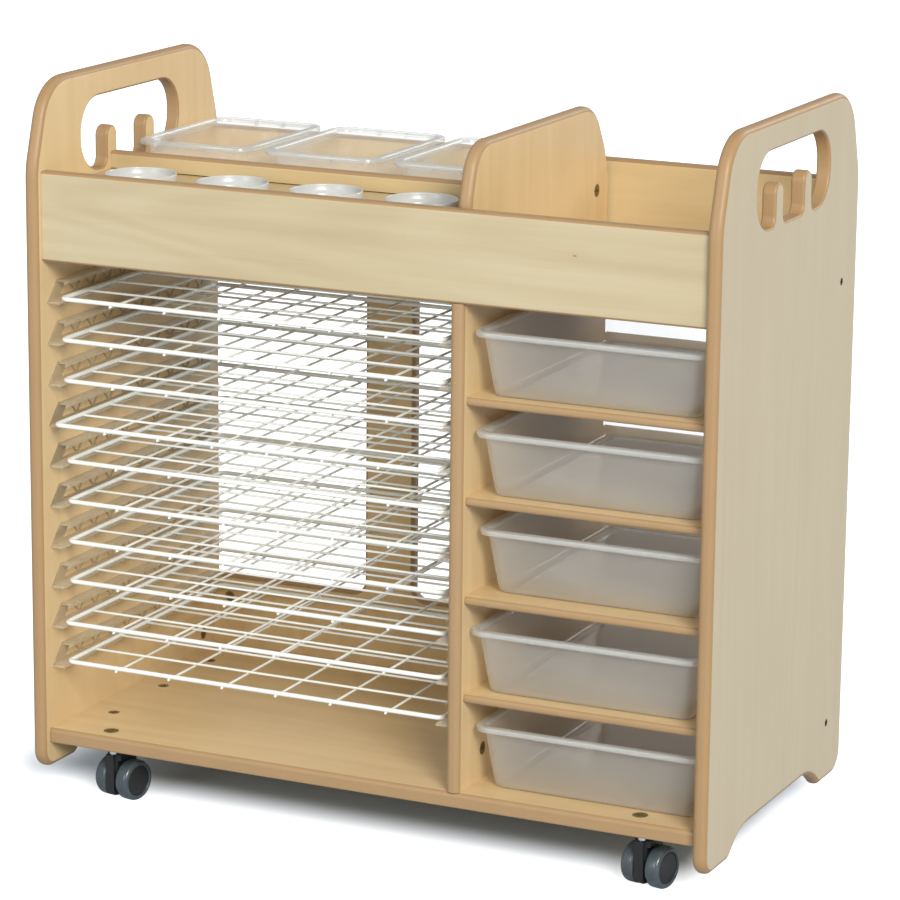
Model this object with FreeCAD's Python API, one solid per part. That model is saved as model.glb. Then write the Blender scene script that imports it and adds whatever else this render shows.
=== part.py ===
import FreeCAD, Part
import math
import os

os.makedirs("parts", exist_ok=True)
V = FreeCAD.Vector

# ---------------------------------------------------------------- sizes (mm)
W = 951.0            # overall width, X
D = 486.0            # overall depth, Y
T = 19.0             # board thickness
Z0 = 44.0            # height of the measuring plane above the floor
H_PANEL = 907.5      # top of the side panels, above the measuring plane
RE = 8.0             # edge rounding of the side panels
XI = W / 2 - T       # inner face of the side panels
DIV_L, DIV_R = 119.0, 138.0      # centre divider faces
SHELF_B, SHELF_T = 30.8, 50.8
SHELF_F, SHELF_R = -230.0, 240.0
FAS_F, FAS_B = -232.0, -213.0    # fascia front and back faces
FAS_LO, FAS_HI = 676.3, 792.3
FLOOR_T = 694.3                  # top of the upper compartments' floors
BACK_F, BACK_B = 221.0, 240.0    # back boards
BACK_HI = 790.0
RAIL_HI = 793.0
POST_X0, POST_X1 = -219.5, -144.0
RAIL_TOP = 152.0
TS_TOPS = [558.6, 431.7, 304.8, 177.9]   # tray shelf tops
TS_T = 11.0
TS_F, TS_B = -220.0, 221.0
POT_TOP, POT_T = 770.0, 12.0
POT_Y = -129.2
POT_X = [-368.9, -235.3, -101.7, 31.9]
POT_HOLE_R = 44.0
RAIL_Y0, RAIL_Y1 = -55.0, -37.0
RACK_X0, RACK_X1 = -443.5, 106.0
RACK_D = 423.4
RACK_R = 3.0         # frame wire radius
WIRE_R = 1.6         # thin wire radius
RACK_Z = [625.2 - 54.06 * k for k in range(10)]
RACK_FRONT = [-215.0, -215.0, -211.5, -234.4, -206.7, -205.3, -205.4, -203.9, -215.4, -210.5]
WIRE_X0, WIRE_PITCH = -367.0, 78.3
CROSS_PITCH = 70.0
RUN_LO, RUN_HI = -5.8, 21.0      # runner below / above the rack wire's centre
RUN_W = 18.5                     # runner flange width
TRAY_X0 = [142.5, 143.5, 143.5, 139.3, 143.5]
TRAY_W = 312.0
TRAY_D = 410.0
TRAY_H = 84.0
TRAY_FRONT = [-220.6, -216.8, -203.3, -216.8, -207.0]
TUB_X = [-446.0, -260.0, -74.0]
TUB_W, TUB_Y0, TUB_Y1 = 168.0, -12.0, 219.0
TUB_TOP = 804.0
CAST_X, CAST_Y = 376.0, 202.0
CAST_ANG = {"front_left": -13.0, "front_right": -12.0, "rear_left": 163.0, "rear_right": 100.0}
WH_R, WH_IN, WH_OUT = 27.0, 8.8, 28.0
TRAIL = 18.0
AXLE_R = 3.0
GAP = 0.2            # gap under things that stand loose on a board


# ---------------------------------------------------------------- helpers
def outline(pts):
    """Closed wire in a plane from (u, v, r) corners; r rounds the corner."""
    n = len(pts)
    segs = []
    for i in range(n):
        p0 = pts[i - 1]
        p1 = pts[i]
        p2 = pts[(i + 1) % n]
        r = p1[2] if len(p1) > 2 else 0.0
        a = V(p0[0] - p1[0], p0[1] - p1[1], 0)
        b = V(p2[0] - p1[0], p2[1] - p1[1], 0)
        a.normalize()
        b.normalize()
        c = V(p1[0], p1[1], 0)
        if r <= 0:
            segs.append((c, c, None))
            continue
        ang = a.getAngle(b)
        t = r / math.tan(ang / 2)
        m = a.add(b)
        m.normalize()
        cen = c.add(m.multiply(r / math.sin(ang / 2)))
        s = c.add(V(a).multiply(t))
        e = c.add(V(b).multiply(t))
        mid = c.sub(cen)
        mid.normalize()
        mid = cen.add(mid.multiply(r))
        segs.append((s, e, mid))
    edges = []
    for i in range(n):
        s, e, mid = segs[i]
        if mid is not None:
            edges.append(Part.Arc(s, mid, e).toShape())
        nx = segs[(i + 1) % n][0]
        if e.sub(nx).Length > 1e-6:
            edges.append(Part.makeLine(e, nx))
    return Part.Wire(edges)


def plate_yz(pts, x0, x1, holes=()):
    """Plate whose outline is given in Y and Z, between x0 and x1."""
    f = Part.makeFace([outline(pts)] + [outline(h) for h in holes], "Part::FaceMakerBullseye")
    f.rotate(V(0, 0, 0), V(1, 1, 1), 120)
    f.translate(V(x0, 0, 0))
    return fixed(f.extrude(V(x1 - x0, 0, 0)))


def plate_xz(pts, y0, y1, holes=()):
    """Plate whose outline is given in X and Z, between y0 and y1."""
    f = Part.makeFace([outline(pts)] + [outline(h) for h in holes], "Part::FaceMakerBullseye")
    f.rotate(V(0, 0, 0), V(1, 0, 0), 90)
    f.translate(V(0, y0, 0))
    return fixed(f.extrude(V(0, y1 - y0, 0)))


def plate_xy(pts, z0, z1, holes=()):
    f = Part.makeFace([outline(pts)] + [outline(h) for h in holes], "Part::FaceMakerBullseye")
    f.translate(V(0, 0, z0))
    return fixed(f.extrude(V(0, 0, z1 - z0)))


def fixed(s):
    if s.ShapeType == "Solid" and s.Volume < 0:
        s.reverse()
    return s


def box(x0, x1, y0, y1, z0, z1):
    return Part.makeBox(x1 - x0, y1 - y0, z1 - z0, V(x0, y0, z0))


def cyl(r, p, d, h):
    return Part.makeCylinder(r, h, V(*p), V(*d))


def up(s, dz=Z0):
    s = s.copy()
    s.translate(V(0, 0, dz))
    return s


def round_edges(s, r, test):
    """Fillet the edges the test picks; steps the radius down if it must."""
    es = [e for e in s.Edges if test(e)]
    for k in (1.0, 0.97, 0.9, 0.75, 0.5):
        try:
            f = s.makeFillet(r * k, es)
            if f.isValid() and f.Volume > 0:
                if f.ShapeType != "Solid" and len(f.Solids) == 1:
                    f = f.Solids[0]
                if k < 1.0:
                    print("fillet stepped down to", r * k)
                return f
        except Exception as err:
            last = err
    print("FILLET FAILED", len(es), last)
    return s


def bb(e):
    b = e.BoundBox
    return b.XMin, b.XMax, b.YMin, b.YMax, b.ZMin, b.ZMax


def near(a, b, t=0.02):
    return abs(a - b) < t


def save(name, shape):
    if isinstance(shape, (list, tuple)):
        shape = Part.makeCompound(list(shape)) if len(shape) > 1 else shape[0]
    sols = shape.Solids
    ok = all(s.isValid() and s.Volume > 0 for s in sols)
    b = shape.BoundBox
    print("%-22s solids %3d ok %s  x %.1f %.1f y %.1f %.1f z %.1f %.1f" % (
        name, len(sols), ok, b.XMin, b.XMax, b.YMin, b.YMax, b.ZMin, b.ZMax))
    if len(sols) == 1 and shape.ShapeType != "Solid":
        shape = sols[0]
    shape.exportStep("parts/%s.step" % name)
    MADE[name] = shape


MADE = {}

# ---------------------------------------------------------------- fittings laid out first, so that boards can be cut for them
CAM_R, CAM_H = 7.5, 12.5
CAM_D = 8.5          # the larger discs in the divider
SCR_R = 2.5

cam_top = [(x, y) for x in (-416.0, 416.0) for y in (-132.0, 2.0, 135.0)]      # in the bottom shelf's top
cap_xy = [(-379.0, -203.0), (372.0, -201.5), (-379.0, 203.0), (372.0, 201.5)]
cam_div = [(177.5, 754.0), (-160.0, 91.0)]           # in the divider's right face (y, z)
cam_left = [(190.0, 70.0), (190.0, 640.0)]           # in the left panel's inner face
scr_side = [(184.5, 663.4), (182.8, 75.4)]           # outer faces of both side panels

cams = []
cam_holes_shelf = []
for x, y in cam_top:
    z = SHELF_T + Z0
    c = cyl(CAM_R, (x, y, z - CAM_H), (0, 0, 1), CAM_H - 0.3)
    s1 = box(x - 5, x + 5, y - 1, y + 1, z - 2.2, z + 1)
    s2 = box(x - 1, x + 1, y - 5, y + 5, z - 2.2, z + 1)
    cams.append(c.cut(s1).cut(s2))
    cam_holes_shelf.append(cyl(CAM_R + 0.1, (x, y, z - CAM_H - 0.2), (0, 0, 1), CAM_H + 2))
    # the bolt that joins the disc to the side panel
    sx = -1 if x < 0 else 1
    zb = SHELF_T + Z0 - 8.0
    b0 = abs(x) + CAM_R + 0.6
    cams.append(cyl(3.0, (sx * b0, y, zb), (sx, 0, 0), XI + 10.0 - b0))
bolt_cuts_shelf = []
bolt_cuts_left = []
bolt_cuts_right = []
for x, y in cam_top:
    sx = -1 if x < 0 else 1
    zb = SHELF_T + Z0 - 8.0
    c = cyl(3.1, (sx * (abs(x) + 1), y, zb), (sx, 0, 0), XI + 10.4 - abs(x) - 1)
    bolt_cuts_shelf.append(c)
    (bolt_cuts_left if sx < 0 else bolt_cuts_right).append(c)

cam_holes_div = []
for y, z in cam_div:
    zz = z + Z0
    c = cyl(CAM_D, (DIV_R - CAM_H, y, zz), (1, 0, 0), CAM_H - 0.3)
    c = c.cut(box(DIV_R - 2.2, DIV_R + 1, y - 5, y + 5, zz - 1, zz + 1)).cut(box(DIV_R - 2.2, DIV_R + 1, y - 1, y + 1, zz - 5, zz + 5))
    cams.append(c)
    cam_holes_div.append(cyl(CAM_D + 0.1, (DIV_R - CAM_H - 0.2, y, zz), (1, 0, 0), CAM_H + 2))
cam_holes_left = []
for y, z in cam_left:
    zz = z + Z0
    c = cyl(CAM_R, (-XI - CAM_H + 0.3 + 0.0, y, zz), (1, 0, 0), CAM_H - 0.6)
    c = c.cut(box(-XI - 2.2, -XI + 1, y - 5, y + 5, zz - 1, zz + 1)).cut(box(-XI - 2.2, -XI + 1, y - 1, y + 1, zz - 5, zz + 5))
    cams.append(c)
    cam_holes_left.append(cyl(CAM_R + 0.1, (-XI - CAM_H - 0.2, y, zz), (1, 0, 0), CAM_H + 2))
# one disc in the front of the back frame's bottom rail
zz = 120.0 + Z0
c = cyl(CAM_R, (-431.0, BACK_F + 0.3, zz), (0, 1, 0), CAM_H - 0.3)
c = c.cut(box(-436, -426, BACK_F - 1, BACK_F + 2.2, zz - 1, zz + 1)).cut(box(-432, -430, BACK_F - 1, BACK_F + 2.2, zz - 5, zz + 5))
cams.append(c)
cam_hole_back = cyl(CAM_R + 0.1, (-431.0, BACK_F - 2, zz), (0, 1, 0), CAM_H + 2.2)

screws = []
scr_cuts = {-1: [], 1: []}
for sx in (-1, 1):
    for y, z in scr_side:
        zz = z + Z0
        xo = sx * W / 2
        head = cyl(4.8, (xo - sx * 3.0, y, zz), (sx, 0, 0), 2.7)
        head = head.cut(cyl(2.1, (xo - sx * 2.0, y, zz), (sx, 0, 0), 3.0))
        shank = cyl(SCR_R, (xo - sx * 5.2, y, zz), (sx, 0, 0), 2.2)
        screws.append(head.fuse(shank).removeSplitter())
        scr_cuts[sx].append(cyl(4.9, (xo - sx * 3.1, y, zz), (sx, 0, 0), 5.0))
        scr_cuts[sx].append(cyl(SCR_R + 0.1, (xo - sx * 5.4, y, zz), (sx, 0, 0), 4.0))

# ---------------------------------------------------------------- side panels
side_pts = [
    (-243.0, -4.0, 25.0), (-161.9, -4.0, 12.0), (-125.6, 24.5, 92.0),
    (125.6, 24.5, 92.0), (161.9, -4.0, 12.0), (243.0, -4.0, 30.0),
    (243.0, 797.0, 100.0), (209.5, H_PANEL, 66.0), (-209.5, H_PANEL, 66.0), (-243.0, 797.0, 100.0)]
hole_pts = [
    (127.5, 870.0, 44.0), (127.5, 775.0, 44.0), (63.5, 775.0, 12.0), (63.5, 827.0, 13.3), (36.5, 827.0, 13.3),
    (36.5, 775.0, 12.0), (-36.5, 775.0, 12.0), (-36.5, 827.0, 13.3), (-63.5, 827.0, 13.3), (-63.5, 775.0, 12.0),
    (-127.5, 775.0, 44.0), (-127.5, 870.0, 44.0)]
RH = 3.5             # edge rounding of the handle holes


def in_hole(e):
    b = bb(e)
    return b[2] > -130.0 and b[3] < 130.0 and b[4] > 770.0 and b[5] < 875.0


for name, x0, sx, cams_cut in (("left_side_panel", -W / 2, -1, cam_holes_left + bolt_cuts_left),
                               ("right_side_panel", W / 2 - T, 1, bolt_cuts_right)):
    p = plate_yz(side_pts, x0, x0 + T, [hole_pts])
    p = round_edges(p, RE, lambda e: near(bb(e)[0], bb(e)[1]) and not in_hole(e))
    p = round_edges(p, RH, lambda e: near(bb(e)[0], bb(e)[1]) and in_hole(e))
    p = up(p)
    for c in cams_cut + scr_cuts[sx]:
        p = p.cut(c)
    save(name, p)

# ---------------------------------------------------------------- divider
div_pts = [
    (-231.0, SHELF_T), (-231.0, FAS_LO), (FAS_B, FAS_LO), (FAS_B, 799.0, 60.0), (-191.5, 869.0, 50.0),
    (171.0, 869.0, 60.0), (206.0, 811.0, 60.0), (BACK_F, 772.0, 40.0), (BACK_F, SHELF_T)]
p = plate_yz(div_pts, DIV_L, DIV_R)


def div_front(e):
    b = bb(e)
    return near(b[0], b[1]) and near(b[2], -231.0) and near(b[3], -231.0)


def div_top(e):
    b = bb(e)
    if not near(b[0], b[1]) or near(b[4], b[5]) and b[4] < FAS_HI:
        return False
    return not (near(b[2], -231.0) and near(b[3], -231.0))


p = round_edges(p, RE, div_front)
p = round_edges(p, RE, div_top)
p = up(p)
for c in cam_holes_div:
    p = p.cut(c)
save("centre_divider", p)

# ---------------------------------------------------------------- bottom shelf
p = box(-XI, XI, SHELF_F, SHELF_R, SHELF_B, SHELF_T)
p = round_edges(p, 6.0, lambda e: near(bb(e)[2], SHELF_F) and near(bb(e)[3], SHELF_F) and near(bb(e)[4], SHELF_T))
p = round_edges(p, 2.5, lambda e: near(bb(e)[2], SHELF_F) and near(bb(e)[3], SHELF_F) and near(bb(e)[5], SHELF_B))
p = up(p)
for c in cam_holes_shelf + bolt_cuts_shelf:
    p = p.cut(c)
for x, y in cap_xy:
    p = p.cut(cyl(10.1, (x, y, SHELF_T + Z0 - 2.4), (0, 0, 1), 5))
stem_xy = [(-CAST_X, -CAST_Y), (CAST_X, -CAST_Y), (-CAST_X, CAST_Y), (CAST_X, CAST_Y)]
for x, y in stem_xy:
    p = p.cut(cyl(4.2, (x, y, SHELF_B + Z0 - 1), (0, 0, 1), 15.0))
save("bottom_shelf", p)

# ---------------------------------------------------------------- fascia
p = box(-XI, XI, FAS_F, FAS_B, FAS_LO, FAS_HI)
p = round_edges(p, 3.8, lambda e: near(bb(e)[4], FAS_HI) and near(bb(e)[5], FAS_HI) and not near(bb(e)[0], bb(e)[1]))
p = round_edges(p, 4.0, lambda e: near(bb(e)[4], FAS_LO) and near(bb(e)[5], FAS_LO) and near(bb(e)[2], FAS_F) and near(bb(e)[3], FAS_F))
save("front_fascia", up(p))

# ---------------------------------------------------------------- back frame and top back board
bf_pts = [
    (-XI, SHELF_T), (DIV_R, SHELF_T), (DIV_R, RAIL_TOP), (POST_X1, RAIL_TOP, 18.0), (POST_X1, FAS_LO),
    (POST_X0, FAS_LO), (POST_X0, RAIL_TOP, 18.0), (-XI, RAIL_TOP)]
p = plate_xz(bf_pts, BACK_F, BACK_B)


def bf_edge(e):
    b = bb(e)
    if not near(b[2], b[3]):
        return False
    if near(b[4], SHELF_T) and near(b[5], SHELF_T):
        return False
    if near(b[4], FAS_LO) and near(b[5], FAS_LO):
        return False
    if near(b[0], b[1]) and (near(b[0], -XI) or near(b[0], DIV_R)):
        return False
    return True


p = round_edges(p, 6.0, bf_edge)
p = up(p)
p = p.cut(cam_hole_back)
save("back_frame", p)

p = box(-XI, XI, BACK_F, BACK_B, FAS_LO, BACK_HI)
p = round_edges(p, 4.5, lambda e: near(bb(e)[4], BACK_HI) and near(bb(e)[5], BACK_HI) and not near(bb(e)[0], bb(e)[1]))
save("top_back_board", up(p))

# ---------------------------------------------------------------- tray shelves
for i, zt in enumerate(TS_TOPS):
    p = box(DIV_R, XI, TS_F, TS_B, zt - TS_T, zt)
    p = round_edges(p, 4.5, lambda e: near(bb(e)[2], TS_F) and near(bb(e)[3], TS_F) and not near(bb(e)[0], bb(e)[1]))
    save("tray_shelf_%d" % (i + 1), up(p))

# ---------------------------------------------------------------- pot shelf, inner rail, floors
p = box(-XI, DIV_L, FAS_B, RAIL_Y1, POT_TOP - POT_T, POT_TOP)
for x in POT_X:
    p = p.cut(cyl(POT_HOLE_R, (x, POT_Y, POT_TOP - POT_T - 1), (0, 0, 1), POT_T + 2))
save("pot_shelf", up(p))
p = box(-XI, DIV_L, RAIL_Y0, RAIL_Y1, POT_TOP, RAIL_HI)
p = round_edges(p, 4.5, lambda e: near(bb(e)[4], RAIL_HI) and near(bb(e)[5], RAIL_HI) and not near(bb(e)[0], bb(e)[1]))
p = p.cut(box(-XI - 1, DIV_L + 1, RAIL_Y0 - 1, RAIL_Y0 + 5, POT_TOP - 1, POT_TOP + 1.3))
save("inner_rail", up(p))
save("top_floor_left", up(box(-XI, DIV_L, FAS_B, BACK_F, FAS_LO, FLOOR_T)))
save("top_floor_right", up(box(DIV_R, XI, FAS_B, BACK_F, FAS_LO, FLOOR_T)))

# ---------------------------------------------------------------- rack runners (one moulding, copied)
RUN_Y0, RUN_Y1 = -221.5, 214.0


def runner():
    """Channel open towards +X, its back on the plane x = 0, origin at the wire's height."""
    # back web with its front end slanted
    side = [(RUN_Y0, RUN_LO), (RUN_Y1, RUN_LO), (RUN_Y1, RUN_HI), (RUN_Y0 + 24.5, RUN_HI)]
    holes = []
    y = RUN_Y0 + 32.0
    k = 0
    while y + 34.0 < RUN_Y1 - 5.0:
        if k % 2 == 0:
            holes.append([(y, 0.4, 0.8), (y + 34.0, 0.4, 0.8), (y + 17.0, 17.6, 0.8)])
        else:
            holes.append([(y, 17.6, 0.8), (y + 17.0, 0.4, 0.8), (y + 34.0, 17.6, 0.8)])
        y += 21.0
        k += 1
    web = plate_yz(side, 0.0, 1.8, holes)
    prism = plate_yz([(RUN_Y0, RUN_LO), (RUN_Y1, RUN_LO), (RUN_Y1, RUN_HI), (RUN_Y0 + 24.5, RUN_HI)], 0.0, RUN_W)
    low = box(0.0, RUN_W, RUN_Y0 - 5, RUN_Y1, RUN_LO, RUN_LO + 2.5).common(prism)
    top = box(0.0, RUN_W - 3.5, RUN_Y0 - 5, RUN_Y1, RUN_HI - 2.0, RUN_HI).common(prism)
    lip = box(RUN_W - 5.0, RUN_W - 3.5, RUN_Y0 - 5, RUN_Y1, RUN_HI - 5.0, RUN_HI).common(prism)
    r = web.fuse([low, top, lip]).removeSplitter()
    return r.Solids[0] if len(r.Solids) == 1 else r


run_l = runner()
run_r = run_l.mirror(V(0, 0, 0), V(1, 0, 0))
left, right = [], []
for z in RACK_Z:
    a = run_l.copy()
    a.translate(V(-XI, 0, z + Z0))
    left.append(a)
    b = run_r.copy()
    b.translate(V(DIV_L, 0, z + Z0))
    right.append(b)
save("runners_left", left)
save("runners_right", right)


# ---------------------------------------------------------------- drying racks (one weldment, copied)
def rack():
    """Wire rack with its front wire's front at y = 0, frame wire centre at z = 0."""
    r = RACK_R
    x0, x1 = RACK_X0 + r, RACK_X1 - r
    y0, y1 = r, RACK_D - r
    c = 9.0
    parts = [
        cyl(r, (x0 + c, y0, 0), (1, 0, 0), x1 - x0 - 2 * c),
        cyl(r, (x0 + c, y1, 0), (1, 0, 0), x1 - x0 - 2 * c),
        cyl(r, (x0, y0 + c, 0), (0, 1, 0), y1 - y0 - 2 * c),
        cyl(r, (x1, y0 + c, 0), (0, 1, 0), y1 - y0 - 2 * c)]
    for cx, cy, a in ((x0 + c, y0 + c, 180), (x1 - c, y0 + c, 270), (x1 - c, y1 - c, 0), (x0 + c, y1 - c, 90)):
        t = Part.makeTorus(c, r, V(0, 0, 0), V(0, 0, 1), -180, 180, 90)
        t.rotate(V(0, 0, 0), V(0, 0, 1), a)
        t.translate(V(cx, cy, 0))
        parts.append(t)
    frame = parts[0].fuse(parts[1:])
    zl = -(r + WIRE_R) + 0.5            # front-to-back wires, welded under the frame wire
    zc = zl + 2 * WIRE_R - 0.3          # cross wires, welded on them
    wires = []
    for k in range(6):
        x = WIRE_X0 + WIRE_PITCH * k
        wires.append(cyl(WIRE_R, (x, -0.8, zl), (0, 1, 0), RACK_D + 1.6))
    for k in range(5):
        y = CROSS_PITCH * (k + 1) + 2.0
        wires.append(cyl(WIRE_R, (x0, y, zc), (1, 0, 0), x1 - x0))
    s = frame.fuse(wires).removeSplitter()
    return s.Solids[0] if len(s.Solids) == 1 else s


rk = rack()
for i, (z, yf) in enumerate(zip(RACK_Z, RACK_FRONT)):
    a = rk.copy()
    a.translate(V(0, yf, z + Z0))
    save("drying_rack_%02d" % (i + 1), a)


# ---------------------------------------------------------------- trays and tubs
def rrect(x0, x1, y0, y1, r, z):
    w = outline([(x0, y0, r), (x1, y0, r), (x1, y1, r), (x0, y1, r)])
    w.translate(V(0, 0, z))
    return w


def tapered(x0, x1, y0, y1, r, z0, ins, rb, z1):
    """Solid between a bottom inset by ins and the full rectangle on top."""
    lo = rrect(x0 + ins, x1 - ins, y0 + ins, y1 - ins, rb, z0)
    hi = rrect(x0, x1, y0, y1, r, z1)
    return Part.makeLoft([lo, hi], True, True)


def bin_shape(x0, x1, y0, y1, h, lip, skirt, r, ins, wall, floor):
    """Open tapered box with a turned-down rim; bottom at z = 0."""
    bx0, bx1, by0, by1 = x0 + lip, x1 - lip, y0 + lip, y1 - lip
    outer = tapered(bx0, bx1, by0, by1, r - lip * 0.5, 0.0, ins, r - 2.0, h)
    k = ins / h
    inner = tapered(bx0 + wall, bx1 - wall, by0 + wall, by1 - wall, r - lip * 0.5 - 1.0, floor,
                    ins - k * floor, r - 4.0, h + 0.01)
    rim = plate_xy([(x0, y0, r), (x1, y0, r), (x1, y1, r), (x0, y1, r)], h - 2.2, h)
    down = plate_xy([(x0, y0, r), (x1, y0, r), (x1, y1, r), (x0, y1, r)], h - skirt, h - 1.0,
                    [[(x0 + 1.8, y0 + 1.8, r - 1.8), (x1 - 1.8, y0 + 1.8, r - 1.8),
                      (x1 - 1.8, y1 - 1.8, r - 1.8), (x0 + 1.8, y1 - 1.8, r - 1.8)]])
    s = outer.fuse([rim, down]).cut(inner)
    hole = box(x0 - 5, x1 + 5, y0 - 5, y1 + 5, h - 1.0, h + 5)
    s = s.removeSplitter()
    s = s.Solids[0] if len(s.Solids) == 1 else s
    return s


tray = bin_shape(0.0, TRAY_W, 0.0, TRAY_D, TRAY_H, 8.0, 7.2, 20.0, 12.0, 2.0, 2.2)
tray = round_edges(tray, 0.8, lambda e: near(bb(e)[4], TRAY_H) and near(bb(e)[5], TRAY_H))
tray_floor = TS_TOPS + [SHELF_T]
for i, yf in enumerate(TRAY_FRONT):
    a = tray.copy()
    a.translate(V(TRAY_X0[i], yf, tray_floor[i] + Z0 + GAP))
    save("storage_tray_%d" % (i + 1), a)

for i, x in enumerate(TUB_X):
    h = TUB_TOP - FLOOR_T - GAP
    a = bin_shape(x, x + TUB_W, TUB_Y0, TUB_Y1, h, 9.0, 7.0, 24.0, 10.0, 2.0, 2.2)
    a = round_edges(a, 0.8, lambda e: near(bb(e)[4], h) and near(bb(e)[5], h))
    a.translate(V(0, 0, FLOOR_T + Z0 + GAP))
    save("tub_%d" % (i + 1), a)

# ---------------------------------------------------------------- paint pots
POT_H = 782.2 - FLOOR_T - GAP
ph = POT_H
prof = [
    (0.0, 0.0), (36.0, 0.0), (38.0, 2.5), (42.3, ph - 11.4), (46.7, ph - 11.4), (46.7, ph),
    (44.4, ph), (43.9, ph - 7.5), (40.0, ph - 11.8), (35.6, 2.5), (0.0, 2.5)]
pw = Part.makePolygon([V(a, 0, b) for a, b in prof + [prof[0]]])
pot = fixed(Part.Face(pw).revolve(V(0, 0, 0), V(0, 0, 1), 360))
pot = pot.Solids[0] if pot.ShapeType != "Solid" else pot
pot = round_edges(pot, 0.8, lambda e: near(bb(e)[4], ph, 0.05) and near(bb(e)[5], ph, 0.05) and bb(e)[1] - bb(e)[0] > 50)
for i, x in enumerate(POT_X):
    a = pot.copy()
    a.translate(V(x, POT_Y, FLOOR_T + Z0 + GAP))
    save("paint_pot_%d" % (i + 1), a)

# ---------------------------------------------------------------- fittings
save("cam_fittings", cams)
save("side_screws", screws)
caps = []
for x, y in cap_xy:
    z = SHELF_T + Z0
    c = cyl(10.0, (x, y, z - 2.2), (0, 0, 1), 2.1)
    c = round_edges(c, 0.5, lambda e: near(bb(e)[4], z - 0.1) and near(bb(e)[5], z - 0.1))
    c = c.cut(box(x - 6, x + 6, y - 1.2, y + 1.2, z - 1.2, z + 2)).cut(box(x - 1.2, x + 1.2, y - 6, y + 6, z - 1.2, z + 2))
    caps.append(c)
save("caster_caps", caps)

# ---------------------------------------------------------------- casters
STEM_R = 4.0
HOUS_T = 63.0        # top of the housing above the floor
AX_Z = WH_R


def revolve_x(prof, x_sign=1):
    """Solid of revolution about the X axis from (x, r) points."""
    w = Part.makePolygon([V(x_sign * a, 0, b) for a, b in prof + [prof[0]]])
    s = Part.Face(w).revolve(V(0, 0, 0), V(1, 0, 0), 360)
    s = s.Solids[0] if s.ShapeType != "Solid" else s
    if s.Volume < 0:
        s.reverse()
    return s


def wheel_pair():
    bore = AXLE_R + 0.05
    prof = [
        (WH_IN, bore), (WH_IN, 8.0), (WH_IN + 2.0, 8.6), (WH_IN + 2.0, 20.5), (WH_IN, 21.5), (WH_IN + 0.6, 25.6),
        (WH_IN + 2.0, 26.6), (WH_IN + 4.4, WH_R), (WH_OUT - 5.6, WH_R), (WH_OUT - 3.0, 26.4), (WH_OUT - 1.2, 25.0),
        (WH_OUT - 0.3, 22.8), (WH_OUT, 20.6), (WH_OUT - 1.4, 19.9), (WH_OUT - 1.9, 18.6), (WH_OUT - 1.9, bore)]
    a = revolve_x(prof)
    b = revolve_x(prof, -1)
    return [a, b]


def caster(ang, px, py, name):
    # housing: centre web, stem boss and hood between the wheels
    web = plate_yz([(-8.2, 9.0, 3.0), (14.0, 5.5, 6.0), (34.0, 10.0, 12.0), (38.5, 34.0, 12.0), (36.0, 52.0, 2.0), (35.0, 61.0, 2.0),
                    (28.0, HOUS_T, 3.0), (-8.2, HOUS_T, 2.5)], -6.9, 6.9)
    boss = cyl(8.2, (0, 0, 26.0), (0, 0, 1), HOUS_T - 26.0)
    hood = plate_yz([(-8.0, 55.0), (26.0, 55.0, 1.0), (24.0, 61.0, 3.0), (18.0, HOUS_T, 3.0), (-8.0, HOUS_T)], -11.5, 11.5)
    hood = hood.common(cyl(14.5, (0, 10, 50), (0, 0, 1), 20))
    body = web.fuse([boss, hood])
    body = body.cut(cyl(STEM_R + 0.05, (0, 0, 28.0), (0, 0, 1), 60.0))
    body = body.cut(cyl(AXLE_R + 0.02, (-30, TRAIL, AX_Z), (1, 0, 0), 60))
    # slot for the pedal's barrel, with its pin
    body = body.cut(box(-4.2, 4.2, 26.5, 60, 50.0, 70.0))
    body = body.cut(box(-4.2, 4.2, 25.0, 60, 61.0, 70.0))
    body = body.fuse(cyl(1.5, (-6.0, 31.0, 56.0), (1, 0, 0), 12.0)).removeSplitter()
    axle = cyl(AXLE_R, (-27.0, TRAIL, AX_Z), (1, 0, 0), 54.0)
    axle = round_edges(axle, 0.5, lambda e: near(bb(e)[0], bb(e)[1]))
    whs = wheel_pair()
    for w in whs:
        w.translate(V(0, TRAIL, AX_Z))
    barrel = cyl(3.6, (-3.9, 31.0, 56.0), (1, 0, 0), 7.8)
    arm = plate_yz([(31.0, 53.4), (45.0, 51.0), (46.0, 55.6), (31.0, 59.0)], -3.9, 3.9)
    tab = plate_yz([(41.5, 52.0, 1.0), (54.0, 45.5, 1.5), (56.0, 49.0, 1.5), (43.0, 57.4, 1.5)], -14.0, 14.0)
    ped = barrel.fuse([arm, tab]).cut(cyl(1.55, (-10, 31.0, 56.0), (1, 0, 0), 20)).removeSplitter()
    out = {"housing": [body], "axle": [axle], "wheels": whs, "pedal": [ped]}
    for key, sols in out.items():
        res = []
        for s in sols:
            s = s.Solids[0] if s.ShapeType != "Solid" and len(s.Solids) == 1 else s
            s.rotate(V(0, 0, 0), V(0, 0, 1), ang)
            s.translate(V(px, py, 0))
            res.append(s)
        save("caster_%s_%s" % (key, name), res)


stems = []
for x, y in stem_xy:
    s = cyl(STEM_R, (x, y, 30.0), (0, 0, 1), 57.5)
    zt = SHELF_B + Z0
    col = cyl(5.6, (x, y, HOUS_T + 0.3), (0, 0, 1), zt - HOUS_T - 0.35)
    fl = cyl(9.0, (x, y, zt - 2.2), (0, 0, 1), 2.15)
    stems.append(s.fuse([col, fl]).removeSplitter())
save("caster_stems", stems)

for name, (px, py) in (("front_left", stem_xy[0]), ("front_right", stem_xy[1]),
                       ("rear_left", stem_xy[2]), ("rear_right", stem_xy[3])):
    caster(CAST_ANG[name], px, py, name)

b = Part.makeCompound(list(MADE.values())).BoundBox
print("nodes", len(MADE), "box", b.XMin, b.XMax, b.YMin, b.YMax, b.ZMin, b.ZMax)
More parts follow.
